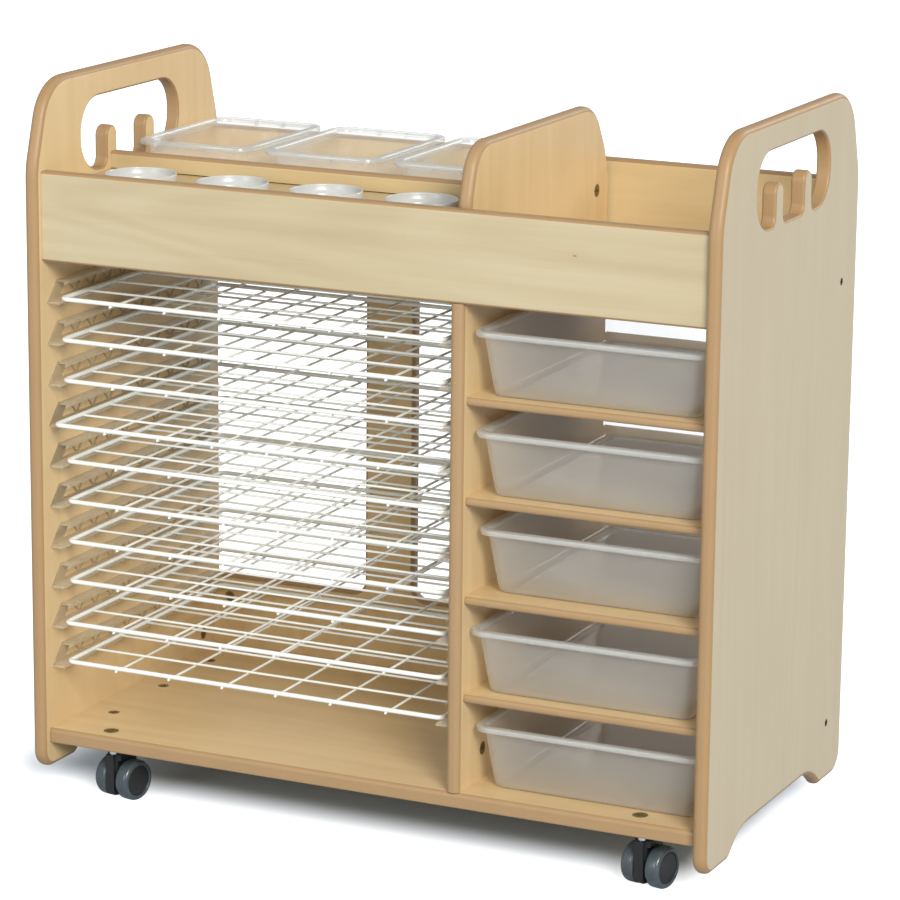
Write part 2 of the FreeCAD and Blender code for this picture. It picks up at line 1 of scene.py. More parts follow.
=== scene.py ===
import bpy
import bmesh
import math
import random
from mathutils import Matrix, Vector


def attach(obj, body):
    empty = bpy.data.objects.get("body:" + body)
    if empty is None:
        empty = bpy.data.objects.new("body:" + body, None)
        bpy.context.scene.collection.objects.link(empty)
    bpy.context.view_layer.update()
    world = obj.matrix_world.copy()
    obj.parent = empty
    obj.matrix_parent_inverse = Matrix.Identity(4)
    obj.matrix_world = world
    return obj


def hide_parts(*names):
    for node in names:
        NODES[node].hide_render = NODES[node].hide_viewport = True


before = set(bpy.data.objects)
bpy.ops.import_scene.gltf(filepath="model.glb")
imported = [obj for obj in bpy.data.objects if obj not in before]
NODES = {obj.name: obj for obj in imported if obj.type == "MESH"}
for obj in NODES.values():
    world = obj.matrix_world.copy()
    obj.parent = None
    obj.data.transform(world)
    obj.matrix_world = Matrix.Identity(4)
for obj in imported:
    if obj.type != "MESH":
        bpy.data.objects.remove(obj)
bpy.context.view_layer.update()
MM = 0.001
Z0 = 44.0

# ------------------------------------------------------------------ sizes shared with the construction (mm)
RACK_X0, RACK_X1, RACK_D = -443.5, 106.0, 423.4
RACK_Z = [625.2 - 54.06 * k for k in range(10)]
RACK_FRONT = [-215.0, -215.0, -211.5, -234.4, -206.7, -205.3, -205.4, -203.9, -215.4, -210.5]
TRAY_X0 = [142.5, 143.5, 143.5, 139.3, 143.5]
TRAY_W, TRAY_D, TRAY_H = 312.0, 410.0, 84.0
TRAY_FRONT = [-220.6, -216.8, -203.3, -216.8, -207.0]
TRAY_Z = [558.8, 431.9, 305.0, 178.1, 51.0]
TUB_X = [-446.0, -260.0, -74.0]
TUB_W, TUB_Y0, TUB_Y1 = 168.0, -12.0, 219.0
FLOOR_T = 694.5
TUB_TOP = 804.0
POT_X = [-368.9, -235.3, -101.7, 31.9]
POT_Y, POT_TOP = -129.2, 782.2
CASTERS = {"front_left": (-376.0, -202.0, -13.0), "front_right": (376.0, -202.0, -12.0),
           "rear_left": (-376.0, 202.0, 163.0), "rear_right": (376.0, 202.0, 100.0)}


# ------------------------------------------------------------------ mesh helpers
def new_object(name, verts, faces, sharp_deg=40.0, smooth=True):
    me = bpy.data.meshes.new(name)
    me.from_pydata([(a * MM, b * MM, c * MM) for a, b, c in verts], [], faces)
    me.validate()
    bm = bmesh.new()
    bm.from_mesh(me)
    bmesh.ops.remove_doubles(bm, verts=bm.verts, dist=1e-7)
    bmesh.ops.recalc_face_normals(bm, faces=bm.faces)
    lim = math.radians(sharp_deg)
    for f in bm.faces:
        f.smooth = smooth
    for e in bm.edges:
        if len(e.link_faces) == 2:
            e.smooth = e.calc_face_angle(0.0) < lim
    bm.to_mesh(me)
    bm.free()
    ob = bpy.data.objects.new(name, me)
    bpy.context.scene.collection.objects.link(ob)
    return ob


class Shell:
    """Collects vertices and faces of one piece, in mm."""

    def __init__(self):
        self.v, self.f = [], []

    def ring_loft(self, rings, cap_start=True, cap_end=True, closed=False):
        base = len(self.v)
        n = len(rings[0])
        for r in rings:
            self.v += [tuple(p) for p in r]
        m = len(rings)
        for i in range(m if closed else m - 1):
            a = base + i * n
            b = base + ((i + 1) % m) * n
            for j in range(n):
                k = (j + 1) % n
                self.f.append((a + j, a + k, b + k, b + j))
        if not closed and cap_start:
            self.f.append(tuple(base + j for j in range(n))[::-1])
        if not closed and cap_end:
            self.f.append(tuple(base + (m - 1) * n + j for j in range(n)))

    def tube(self, path, r, n=14, closed=False, taper=None):
        """Round section along a path of points; parallel-transported frame."""
        pts = [Vector(p) for p in path]
        m = len(pts)
        tans = []
        for i in range(m):
            if closed:
                t = pts[(i + 1) % m] - pts[i - 1]
            else:
                t = pts[min(i + 1, m - 1)] - pts[max(i - 1, 0)]
            tans.append(t.normalized())
        up = Vector((0, 0, 1))
        if abs(tans[0].dot(up)) > 0.9:
            up = Vector((1, 0, 0))
        u = (up - tans[0] * up.dot(tans[0])).normalized()
        rings = []
        for i in range(m):
            u = (u - tans[i] * u.dot(tans[i])).normalized()
            w = tans[i].cross(u)
            rr = r if taper is None else r * taper[i]
            rings.append([pts[i] + (u * math.cos(2 * math.pi * k / n) + w * math.sin(2 * math.pi * k / n)) * rr
                          for k in range(n)])
        self.ring_loft(rings, closed=closed)

    def add(self, verts, faces):
        b = len(self.v)
        self.v += [tuple(p) for p in verts]
        self.f += [tuple(i + b for i in f) for f in faces]

    def lathe(self, prof, n=64, axis="z", closed=True, M=None):
        """Closed profile of (radius, height) turned about an axis."""
        rings = []
        for r, h in prof:
            ring = []
            for k in range(n):
                a = 2 * math.pi * k / n
                if axis == "z":
                    p = Vector((r * math.cos(a), r * math.sin(a), h))
                else:
                    p = Vector((h, r * math.cos(a), r * math.sin(a)))
                ring.append(M @ p if M else p)
            rings.append(ring)
        self.ring_loft(rings, closed=closed)

    def box(self, x0, x1, y0, y1, z0, z1, M=None, ch=0.0):
        """Box with chamfered vertical and horizontal edges (three-ring loft)."""
        c = min(ch, (x1 - x0) / 2.2, (y1 - y0) / 2.2, (z1 - z0) / 2.2)

        def rect(d, z):
            return [(x0 + d + c, y0 + d, z), (x1 - d - c, y0 + d, z), (x1 - d, y0 + d + c, z), (x1 - d, y1 - d - c, z),
                    (x1 - d - c, y1 - d, z), (x0 + d + c, y1 - d, z), (x0 + d, y1 - d - c, z), (x0 + d, y0 + d + c, z)]
        if c > 0:
            rings = [rect(c, z0), rect(0, z0 + c), rect(0, z1 - c), rect(c, z1)]
        else:
            rings = [[(x0, y0, z), (x1, y0, z), (x1, y1, z), (x0, y1, z)] for z in (z0, z1)]
        rings = [[(M @ Vector(p)) if M else Vector(p) for p in r] for r in rings]
        self.ring_loft(rings)

    def obj(self, name, sharp=40.0):
        return new_object(name, self.v, self.f, sharp)


def rrect(x0, x1, y0, y1, r, z, seg=9):
    """Rounded rectangle ring, counter-clockwise."""
    r = max(0.3, min(r, (x1 - x0) / 2 - 0.1, (y1 - y0) / 2 - 0.1))
    out = []
    for cx, cy, a0 in ((x1 - r, y0 + r, -90), (x1 - r, y1 - r, 0), (x0 + r, y1 - r, 90), (x0 + r, y0 + r, 180)):
        for k in range(seg + 1):
            a = math.radians(a0 + 90.0 * k / seg)
            out.append((cx + r * math.cos(a), cy + r * math.sin(a), z))
    return out


def finish_piece(ob, body, nodes, mat):
    ob.data.materials.clear()
    ob.data.materials.append(mat)
    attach(ob, body)
    if nodes:
        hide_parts(*nodes)
    return ob


# ------------------------------------------------------------------ material helpers
class Mat:
    def __init__(self, name):
        self.m = bpy.data.materials.new(name)
        self.m.use_nodes = True
        self.t = self.m.node_tree
        self.n = self.t.nodes
        self.bsdf = self.n["Principled BSDF"]
        self.out = self.n["Material Output"]
        self.tc = None

    def node(self, kind, **kw):
        nd = self.n.new(kind)
        for k, v in kw.items():
            setattr(nd, k, v)
        return nd

    def link(self, a, b):
        self.t.links.new(a, b)

    def coords(self):
        if self.tc is None:
            self.tc = self.node("ShaderNodeTexCoord")
        return self.tc.outputs["Object"]

    def mapped(self, scale, loc=(0, 0, 0), rot=(0, 0, 0)):
        mp = self.node("ShaderNodeMapping")
        mp.inputs["Scale"].default_value = scale
        mp.inputs["Location"].default_value = loc
        mp.inputs["Rotation"].default_value = rot
        self.link(self.coords(), mp.inputs["Vector"])
        return mp.outputs[0]

    def noise(self, vec, scale=1.0, detail=4.0, rough=0.55, distort=0.0):
        nz = self.node("ShaderNodeTexNoise")
        nz.inputs["Scale"].default_value = scale
        nz.inputs["Detail"].default_value = detail
        nz.inputs["Roughness"].default_value = rough
        nz.inputs["Distortion"].default_value = distort
        self.link(vec, nz.inputs["Vector"])
        return nz.outputs["Fac"]

    def ramp(self, fac, stops):
        r = self.node("ShaderNodeMapRange")
        r.interpolation_type = "SMOOTHSTEP"
        r.inputs["From Min"].default_value = stops[0]
        r.inputs["From Max"].default_value = stops[1]
        r.inputs["To Min"].default_value = stops[2]
        r.inputs["To Max"].default_value = stops[3]
        self.link(fac, r.inputs["Value"])
        return r.outputs["Result"]

    def math(self, op, a, b=None, c=None):
        m = self.node("ShaderNodeMath", operation=op)
        for i, x in enumerate((a, b, c)):
            if x is None:
                continue
            if isinstance(x, (int, float)):
                m.inputs[i].default_value = x
            else:
                self.link(x, m.inputs[i])
        return m.outputs[0]

    def mix(self, fac, a, b, mode="MIX"):
        m = self.node("ShaderNodeMix", data_type="RGBA", blend_type=mode)
        for sock, x in ((m.inputs["Factor"], fac), (m.inputs["A"], a), (m.inputs["B"], b)):
            pass
        ins = [i for i in m.inputs if i.enabled]
        fa, aa, bb = ins[0], ins[1], ins[2]
        for sock, x in ((fa, fac), (aa, a), (bb, b)):
            if isinstance(x, (int, float)):
                sock.default_value = x
            elif isinstance(x, (tuple, list)):
                sock.default_value = (*x[:3], 1.0)
            else:
                self.link(x, sock)
        return [o for o in m.outputs if o.enabled][0]

    def bump(self, height, strength=0.2, dist=0.0004):
        b = self.node("ShaderNodeBump")
        b.inputs["Strength"].default_value = strength
        b.inputs["Distance"].default_value = dist
        self.link(height, b.inputs["Height"])
        self.link(b.outputs[0], self.bsdf.inputs["Normal"])
        return b.outputs[0]

    def set(self, **kw):
        names = {"rough": "Roughness", "metal": "Metallic", "spec": "Specular IOR Level", "ior": "IOR", "coat": "Coat Weight",
                 "coatr": "Coat Roughness", "trans": "Transmission Weight", "alpha": "Alpha", "sss": "Subsurface Weight",
                 "color": "Base Color"}
        for k, v in kw.items():
            s = self.bsdf.inputs[names[k]]
            if isinstance(v, (tuple, list)):
                s.default_value = (*v[:3], 1.0)
            elif isinstance(v, (int, float)):
                s.default_value = v
            else:
                self.link(v, s)


def srgb(r, g, b):
    def f(c):
        c /= 255.0
        return c / 12.92 if c <= 0.04045 else ((c + 0.055) / 1.055) ** 2.4
    return (f(r), f(g), f(b))


def wood(name, face, grain, seed, base, dark, edge, knot=None, figure=1.0, inner=None):
    """Lacquered pale veneer on board. face: axis of the board's normal; grain: axis the grain runs along.
    The routed, rounded edges show the browner core. inner: sign of the face that gets a warmer base and dark, a
    painted warm bounce light from inside the bays."""
    M = Mat(name)
    ax = "xyz".index(grain)
    long_ = [46.0, 46.0, 46.0]
    long_[ax] = 1.5
    loc = (seed * 3.17, seed * 1.71, seed * 2.33)
    warp = M.noise(M.mapped((2.2, 2.2, 2.2), loc), 1.0, 2.0, 0.5)
    streak = M.noise(M.mapped(tuple(long_), loc), 1.0, 5.0, 0.62, 0.25)
    fine = [420.0] * 3
    fine[ax] = 16.0
    pores = M.noise(M.mapped(tuple(fine), loc), 1.0, 3.0, 0.6)
    wide = [7.0] * 3
    wide[ax] = 0.9
    # long arched figure: bands bent by a slow noise
    fig_vec = M.mapped(tuple(wide), loc)
    fig = M.noise(fig_vec, 1.0, 1.5, 0.45, 0.9)
    bands = M.math("SINE", M.math("MULTIPLY", fig, 46.0))
    bands = M.ramp(bands, (-1.0, 1.0, 0.0, 1.0))
    s1 = M.ramp(streak, (0.30, 0.72, 0.0, 1.0))
    p1 = M.ramp(pores, (0.52, 0.80, 0.0, 1.0))
    w1 = M.ramp(warp, (0.30, 0.70, 0.0, 1.0))
    amt = M.math("ADD", M.math("MULTIPLY", s1, 0.34 * figure), M.math("MULTIPLY", bands, 0.22 * figure))
    amt = M.math("ADD", amt, M.math("MULTIPLY", w1, 0.26))
    amt = M.math("ADD", amt, M.math("MULTIPLY", p1, 0.18))
    col = M.mix(amt, base, dark)
    if knot:
        kx, kz = knot
        sep = M.node("ShaderNodeSeparateXYZ")
        M.link(M.coords(), sep.inputs[0])
        dx = M.math("MULTIPLY", M.math("SUBTRACT", sep.outputs[0], kx * MM), 0.55)
        dz = M.math("SUBTRACT", sep.outputs[2], kz * MM)
        d = M.math("SQRT", M.math("ADD", M.math("MULTIPLY", dx, dx), M.math("MULTIPLY", dz, dz)))
        spot = M.ramp(d, (0.0004, 0.0024, 1.0, 0.0))
        halo = M.ramp(d, (0.002, 0.016, 1.0, 0.0))
        rings = M.math("SINE", M.math("MULTIPLY", d, 1900.0))
        rings = M.math("MULTIPLY", M.ramp(rings, (-1.0, 1.0, 0.0, 1.0)), halo)
        col = M.mix(M.math("MULTIPLY", rings, 0.35), col, dark)
        col = M.mix(M.math("MULTIPLY", spot, 0.8), col, srgb(150, 105, 62))
    # edge mask from the surface's own normal
    geo = M.node("ShaderNodeNewGeometry")
    sepn = M.node("ShaderNodeSeparateXYZ")
    M.link(geo.outputs["Normal"], sepn.inputs[0])
    na = M.math("ABSOLUTE", sepn.outputs["xyz".index(face)])
    mask = M.ramp(na, (0.955, 0.992, 1.0, 0.0))
    # painted warm bounce light: the inner face takes a warmer base and dark than the outer face of the same board
    if inner:
        sign, painted_warm_base, painted_warm_dark = inner
        side = M.ramp(M.math("MULTIPLY", sepn.outputs["xyz".index(face)], sign), (0.0, 0.5, 0.0, 1.0))
        col = M.mix(side, col, M.mix(amt, painted_warm_base, painted_warm_dark))
    core = M.noise(M.mapped((900.0, 900.0, 900.0), loc), 1.0, 3.0, 0.7)
    soft = M.noise(M.mapped((24.0, 24.0, 9.0), loc), 1.0, 3.0, 0.6)
    core_amt = M.math("ADD", M.math("MULTIPLY", M.ramp(core, (0.3, 0.7, 0.0, 1.0)), 0.30), M.math("MULTIPLY", soft, 0.45))
    edge_dark = tuple(c * 0.72 for c in edge)
    ecol = M.mix(core_amt, edge, edge_dark)
    M.set(color=M.mix(mask, col, ecol))
    rough = M.math("ADD", M.math("MULTIPLY", streak, 0.12), M.math("MULTIPLY", mask, 0.10))
    M.set(rough=M.math("ADD", rough, 0.34))
    M.set(spec=0.42, coat=0.12, coatr=0.3)
    h = M.math("ADD", M.math("MULTIPLY", pores, 0.5), M.math("MULTIPLY", streak, 0.5))
    M.bump(h, 0.10, 0.0003)
    return M.m


BASE = srgb(197, 181, 145)
DARK = srgb(177, 158, 120)
SIDE = srgb(189, 175, 145)
SIDE_D = srgb(174, 158, 127)
EDGE = srgb(165, 132, 91)
LIP = srgb(166, 135, 95)
WARM = srgb(198, 177, 135)
WARM_D = srgb(181, 158, 113)
IN = srgb(212, 185, 140)
IN_D = srgb(196, 167, 119)

WOODS = {
    "left_side_panel": ("x", "z", 1.0, SIDE, SIDE_D, EDGE, 0.6),
    "right_side_panel": ("x", "z", 2.3, SIDE, SIDE_D, EDGE, 0.45),
    "centre_divider": ("x", "z", 3.1, IN, IN_D, LIP, 0.8),
    "bottom_shelf": ("z", "x", 4.7, IN, IN_D, LIP, 1.0),
    "front_fascia": ("y", "x", 5.2, srgb(187, 173, 140), srgb(168, 151, 116), EDGE, 1.0),
    "back_frame": ("y", "z", 6.4, BASE, DARK, EDGE, 1.0),
    "top_back_board": ("y", "x", 7.9, srgb(212, 191, 148), srgb(196, 172, 126), EDGE, 1.0),
    "tray_shelf_1": ("z", "x", 8.1, IN, IN_D, LIP, 1.0),
    "tray_shelf_2": ("z", "x", 9.6, IN, IN_D, LIP, 1.0),
    "tray_shelf_3": ("z", "x", 10.2, IN, IN_D, LIP, 1.0),
    "tray_shelf_4": ("z", "x", 11.5, IN, IN_D, LIP, 1.0),
    "pot_shelf": ("z", "x", 12.4, WARM, WARM_D, EDGE, 1.0),
    "inner_rail": ("y", "x", 13.3, WARM, WARM_D, EDGE, 1.0),
    "top_floor_left": ("z", "x", 14.8, IN, IN_D, EDGE, 1.0),
    "top_floor_right": ("z", "x", 15.5, IN, IN_D, EDGE, 1.0),
}
# painted warm bounce light: the inner faces of the side panels and back frame get the warmer interior tone
PAINTED_WARM_INNER = {"left_side_panel": (1.0, IN, IN_D), "right_side_panel": (-1.0, IN, IN_D), "back_frame": (-1.0, IN, IN_D)}
for node, (face, grain, seed, b, d, e, k) in WOODS.items():
    m = wood("veneer_" + node, face, grain, seed, b, d, e, knot=(284.2, 794.0) if node == "front_fascia" else None, figure=k,
             inner=PAINTED_WARM_INNER.get(node))
    me = NODES[node].data
    me.materials.clear()
    me.materials.append(m)


def frosted(name, color, lo, hi, rough, seed=0.0, gloss=0.12, tint=None, glow=(0.86, 0.85, 0.80)):
    """Milky see-through moulded plastic: body colour over clear, under a glossy skin;
    more opaque where it is seen edge-on."""
    M = Mat(name)
    lw = M.node("ShaderNodeLayerWeight")
    lw.inputs["Blend"].default_value = 0.35
    cloud = M.noise(M.mapped((9.0, 9.0, 22.0), (seed, seed * 2, 0)), 1.0, 3.0, 0.5)
    grain = M.noise(M.mapped((700.0, 700.0, 700.0), (seed, 0, 0)), 1.0, 2.0, 0.6)
    a = M.ramp(lw.outputs["Facing"], (0.25, 0.95, lo, hi))
    a = M.math("ADD", a, M.math("MULTIPLY", M.math("SUBTRACT", cloud, 0.5), 0.06))
    M.set(color=M.mix(M.math("MULTIPLY", cloud, 0.5), color, tint or tuple(c * 0.9 for c in color)))
    M.set(rough=M.math("ADD", M.math("MULTIPLY", grain, 0.14), rough - 0.07), spec=0.2, ior=1.49)
    nrm = M.bump(grain, 0.06, 0.0002)
    clear = M.node("ShaderNodeBsdfTransparent")
    lit = M.node("ShaderNodeBsdfTranslucent")
    lit.inputs["Color"].default_value = (*glow, 1.0)
    milk = M.node("ShaderNodeMixShader")
    milk.inputs[0].default_value = 0.45
    M.link(M.bsdf.outputs[0], milk.inputs[1])
    M.link(lit.outputs[0], milk.inputs[2])
    body = M.node("ShaderNodeMixShader")
    M.link(a, body.inputs[0])
    M.link(clear.outputs[0], body.inputs[1])
    M.link(milk.outputs[0], body.inputs[2])
    skin = M.node("ShaderNodeBsdfGlossy")
    skin.inputs["Color"].default_value = (0.96, 0.98, 1.0, 1.0)
    M.link(M.math("ADD", M.math("MULTIPLY", grain, 0.08), gloss), skin.inputs["Roughness"])
    M.link(nrm, skin.inputs["Normal"])
    # the same sheen from either side of the thin wall
    edge_on = M.node("ShaderNodeLayerWeight")
    edge_on.inputs["Blend"].default_value = 0.5
    sheen = M.math("ADD", M.math("MULTIPLY", M.math("POWER", edge_on.outputs["Facing"], 5.0), 0.80), 0.035)
    whole = M.node("ShaderNodeMixShader")
    M.link(sheen, whole.inputs[0])
    M.link(body.outputs[0], whole.inputs[1])
    M.link(skin.outputs[0], whole.inputs[2])
    M.link(whole.outputs[0], M.out.inputs["Surface"])
    return M.m


M_TRAY = frosted("frosted_tray_plastic", srgb(216, 213, 203), 0.42, 0.78, 0.32, 1.0, glow=(0.95, 0.94, 0.90))
M_TRAY_RIM = frosted("frosted_tray_rim", srgb(210, 212, 208), 0.44, 0.80, 0.30, 1.5, glow=(0.92, 0.92, 0.90))
M_TUB = frosted("clear_tub_plastic", srgb(246, 244, 238), 0.32, 0.60, 0.16, 2.0, 0.06, glow=(0.96, 0.95, 0.92))
M_TUB_RIM = frosted("clear_tub_rim", srgb(228, 234, 234), 0.32, 0.68, 0.20, 2.5, 0.10)
M_RUN = frosted("runner_plastic", srgb(228, 212, 180), 0.30, 0.62, 0.34, 3.0, 0.25)


def plain(name, color, rough, spec=0.5, metal=0.0, var=0.08, grain=600.0, bump=0.08, coat=0.0, brushed=None):
    M = Mat(name)
    big = M.noise(M.mapped((14.0, 14.0, 14.0)), 1.0, 3.0, 0.5)
    small = M.noise(M.mapped((grain,) * 3 if brushed is None else brushed), 1.0, 3.0, 0.6)
    k = M.math("ADD", M.math("MULTIPLY", big, 0.7), M.math("MULTIPLY", small, 0.3))
    M.set(color=M.mix(k, color, tuple(c * (1.0 - 2.0 * var) for c in color)))
    M.set(rough=M.math("ADD", M.math("MULTIPLY", small, 0.16), max(0.02, rough - 0.08)), spec=spec, metal=metal, coat=coat)
    M.bump(small, bump, 0.0002)
    return M.m


M_WIRE = plain("white_coated_wire", srgb(228, 230, 223), 0.34, var=0.03, grain=260.0, bump=0.12)
M_POT = plain("white_pot_plastic", srgb(189, 191, 187), 0.28, var=0.02, grain=500.0, bump=0.05)
M_CAM = plain("cam_zinc", srgb(150, 128, 86), 0.42, metal=0.75, var=0.2, grain=500.0)
M_SCREW = plain("dark_screw", srgb(70, 62, 54), 0.45, metal=0.7, var=0.2)
M_CAP = plain("cap_zinc", srgb(152, 130, 84), 0.40, metal=0.75, var=0.22)
M_CHROME = plain("stem_plating", (0.82, 0.83, 0.84), 0.16, metal=1.0, var=0.04)
M_HOUS = plain("black_housing_plastic", srgb(26, 27, 27), 0.42, var=0.15, grain=900.0)
M_AXLE = plain("axle_steel", (0.55, 0.55, 0.56), 0.32, metal=1.0, var=0.1)

for node, m in (("runners_left", M_RUN), ("runners_right", M_RUN), ("cam_fittings", M_CAM), ("side_screws", M_SCREW),
                ("caster_caps", M_CAP), ("caster_stems", M_CHROME)):
    me = NODES[node].data
    me.materials.clear()
    me.materials.append(m)
for c in CASTERS:
    for node, m in (("caster_housing_" + c, M_HOUS), ("caster_pedal_" + c, M_HOUS), ("caster_axle_" + c, M_AXLE)):
        me = NODES[node].data
        me.materials.clear()
        me.materials.append(m)


def wheel_mat():
    M = Mat("wheel_grey_plastic")
    small = M.noise(M.mapped((800.0,) * 3), 1.0, 3.0, 0.6)
    scuff = M.noise(M.mapped((60.0, 60.0, 60.0)), 1.0, 5.0, 0.65)
    M.set(color=M.mix(M.ramp(scuff, (0.45, 0.75, 0.0, 1.0)), srgb(62, 72, 76), srgb(78, 88, 91)))
    M.set(rough=M.math("ADD", M.math("MULTIPLY", small, 0.12), 0.20), spec=0.55)
    M.bump(small, 0.05, 0.0002)
    return M.m


M_WHEEL = wheel_mat()
M_DISC = plain("wheel_disc_plastic", srgb(34, 35, 33), 0.40, var=0.12, grain=900.0)


# ------------------------------------------------------------------ drying racks
def rack_piece(i):
    s = Shell()
    yf, zc = RACK_FRONT[i], RACK_Z[i] + Z0
    r, w = 3.0, 1.6
    x0, x1 = RACK_X0 + r, RACK_X1 - r
    y0, y1 = yf + r, yf + RACK_D - r
    c = 9.0
    path = []
    for cx, cy, a0 in ((x1 - c, y0 + c, -90), (x1 - c, y1 - c, 0), (x0 + c, y1 - c, 90), (x0 + c, y0 + c, 180)):
        for k in range(9):
            a = math.radians(a0 + 90.0 * k / 8)
            path.append((cx + c * math.cos(a), cy + c * math.sin(a), zc))
    full = []
    for k, p in enumerate(path):
        q = path[(k + 1) % len(path)]
        full.append(p)
        L = math.hypot(q[0] - p[0], q[1] - p[1])
        if L > 60:
            for j in range(1, 6):
                t = j / 6.0
                full.append((p[0] + (q[0] - p[0]) * t, p[1] + (q[1] - p[1]) * t, zc))
    s.tube(full, r, 16, closed=True)
    zl = zc - (r + w) + 0.5
    zx = zl + 2 * w - 0.3
    rnd = random.Random(100 + i)
    for k in range(6):
        x = -367.0 + 78.3 * k + rnd.uniform(-0.5, 0.5)
        a, b = yf - 0.5, yf + RACK_D + 0.5
        path = [(x, a, zl), (x, a + 0.5, zl), (x, a + 1.4, zl)] + [(x, a + (b - a) * t, zl) for t in (0.2, 0.4, 0.6, 0.8)] + [(x, b - 1.4, zl), (x, b - 0.5, zl), (x, b, zl)]
        tp = [0.55, 0.9, 1.0] + [1.0] * 4 + [1.0, 0.9, 0.55]
        s.tube(path, w, 12, taper=tp)
        # weld beads where the thin wire crosses the frame wire
        for yy in (y0, y1):
            s.tube([(x - 2.6, yy, zl + 1.5), (x - 1.5, yy, zl + 1.5), (x, yy, zl + 1.5), (x + 1.5, yy, zl + 1.5), (x + 2.6, yy, zl + 1.5)],
                   2.0, 8, taper=[0.35, 0.85, 1.0, 0.85, 0.35])
    for k in range(5):
        y = yf + 70.0 * (k + 1) + 2.0
        s.tube([(x0 + (x1 - x0) * t, y, zx) for t in (0.0, 0.2, 0.4, 0.6, 0.8, 1.0)], w, 12)
        for xx in (x0, x1):
            s.tube([(xx, y - 2.6, zx + 0.6), (xx, y - 1.5, zx + 0.6), (xx, y, zx + 0.6), (xx, y + 1.5, zx + 0.6), (xx, y + 2.6, zx + 0.6)],
                   2.4, 8, taper=[0.35, 0.85, 1.0, 0.85, 0.35])
    name = "drying_rack_%02d" % (i + 1)
    ob = new_object("wire_rack_%02d" % (i + 1), s.v, s.f, 50.0)
    finish_piece(ob, "rack_%02d" % (i + 1), [name], M_WIRE)


for i in range(10):
    rack_piece(i)


# ------------------------------------------------------------------ trays and tubs
def bin_rings(x0, x1, y0, y1, z, h, lip, skirt, r, ins, wall, seg=9):
    """Rings from the middle of the underside, out, up, over the rim and down inside."""
    def ring(d, zz, rr):
        return rrect(x0 + d, x1 - d, y0 + d, y1 - d, rr, z + zz, seg)
    full = lip + ins
    prof = [
        (full + 26.0, 1.2, 6.0), (full + 14.0, 1.2, 8.0), (full + 12.5, 0.0, 8.0), (full + 5.0, 0.0, r - 8.0),
        (full + 1.8, 0.9, r - 6.0), (full + 0.4, 3.2, r - 5.2), (full - 0.3, 6.4, r - 5.0)]
    # wall rings, flaring out towards the rim
    for t in (0.12, 0.30, 0.50, 0.70, 0.86):
        prof.append((full - ins * t, h * t, r - 5.0 + t))
    prof += [
        (lip + 1.0, h * 0.92, r - 4.0), (lip + 0.6, h - 4.2, r - 4.0), (lip - 0.6, h - 2.6, r - 3.6),
        (2.4, h - 2.4, r - 1.8), (1.9, h - 3.4, r - 1.6), (1.8, h - skirt, r - 1.6), (1.1, h - skirt - 0.5, r - 0.8), (0.35, h - skirt, r),
        (0.0, h - skirt + 1.5, r), (0.0, h - 2.4, r), (0.5, h - 0.9, r), (1.7, h - 0.15, r), (3.4, h, r - 1.2),
        (lip - 1.6, h, r - 3.4), (lip + 0.3, h - 0.25, r - 4.4), (lip + 1.5, h - 1.3, r - 5.0), (lip + 2.3, h - 3.4, r - 5.2),
        (lip + 2.6, h * 0.92, r - 5.4)]
    prof.append((lip + 1.9, h * 0.90, r - 5.2))
    return [ring(d, zz, rr) for d, zz, rr in prof]


def bin_piece(name, body, node, mat, rim_mat, x0, x1, y0, y1, z, h, lip, skirt, r, ins, wall, ribs):
    s = Shell()
    rings = bin_rings(x0, x1, y0, y1, z, h, lip, skirt, r, ins, wall)
    s.ring_loft(rings, cap_end=False)
    # small stiffening ribs under the rim
    t = 0.9
    zr0, zr1 = z + h - skirt - 1.5, z + h - 2.2
    for k in range(ribs):
        f = (k + 1.0) / (ribs + 1.0)
        yy = y0 + r + (y1 - y0 - 2 * r) * f
        s.box(x0 + 1.4, x0 + lip + 1.2, yy - t, yy + t, zr0, zr1)
        s.box(x1 - lip - 1.2, x1 - 1.4, yy - t, yy + t, zr0, zr1)
    for k in range(max(2, ribs // 2)):
        f = (k + 1.0) / (max(2, ribs // 2) + 1.0)
        xx = x0 + r + (x1 - x0 - 2 * r) * f
        s.box(xx - t, xx + t, y0 + 1.4, y0 + lip + 1.2, zr0, zr1)
        s.box(xx - t, xx + t, y1 - lip - 1.2, y1 - 1.4, zr0, zr1)
    ob = new_object(name, s.v, s.f, 55.0)
    finish_piece(ob, body, [node], mat)
    ob.data.materials.append(rim_mat)
    for p in ob.data.polygons:
        if p.center.z > (z + h - skirt - 2.0) * MM:
            p.material_index = 1


for i in range(5):
    bin_piece("frosted_tray_%d" % (i + 1), "tray_%d" % (i + 1), "storage_tray_%d" % (i + 1), M_TRAY, M_TRAY_RIM,
              TRAY_X0[i], TRAY_X0[i] + TRAY_W, TRAY_FRONT[i], TRAY_FRONT[i] + TRAY_D, TRAY_Z[i] + Z0, TRAY_H, 8.0, 7.2, 20.0, 12.0, 2.0, 6)
for i, x in enumerate(TUB_X):
    bin_piece("clear_tub_%d" % (i + 1), "tub_%d_body" % (i + 1), "tub_%d" % (i + 1), M_TUB, M_TUB_RIM,
              x, x + TUB_W, TUB_Y0, TUB_Y1, FLOOR_T + Z0, TUB_TOP - FLOOR_T, 9.0, 7.0, 24.0, 10.0, 2.0, 4)

